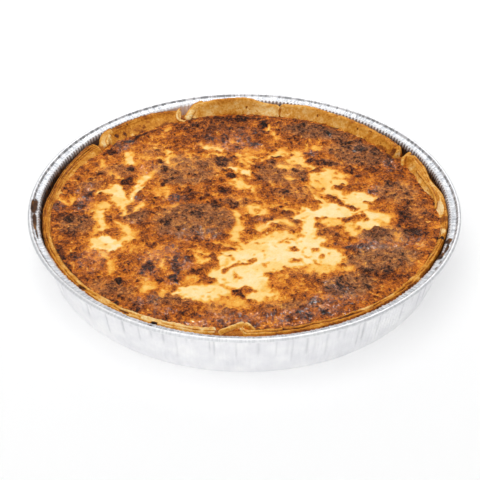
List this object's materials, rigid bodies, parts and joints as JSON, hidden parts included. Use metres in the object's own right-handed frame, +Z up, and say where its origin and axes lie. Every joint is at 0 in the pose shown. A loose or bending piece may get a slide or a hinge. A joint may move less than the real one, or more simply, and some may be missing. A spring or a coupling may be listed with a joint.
{
  "type": "salt cod quiche",
  "caption": "Round baked quiche in its crimped foil tin: a folded pastry case, taller and split at the back, round a low, bumpy, unevenly browned egg and fish filling.",
  "frame": {"origin": "centre of the tin's flat underside, which stands on the table", "axes": "+Z up; +Y towards the side of the pie whose crust stands tallest; +X to the right seen from the opposite side"},
  "size_m": [0.2598, 0.2598, 0.0353],
  "materials": {
    "foil": "bright, softly crumpled foil",
    "pastry": "dry golden-brown baked shortcrust, stood in for by a matt finish",
    "filling": "oily browned egg and cheese, cream to dark brown, stood in for by a half-gloss finish"
  },
  "bodies": {
    "root": {"foil_tin": "foil", "pastry_crust": "pastry", "filling": "filling"}
  },
  "joints": []
}
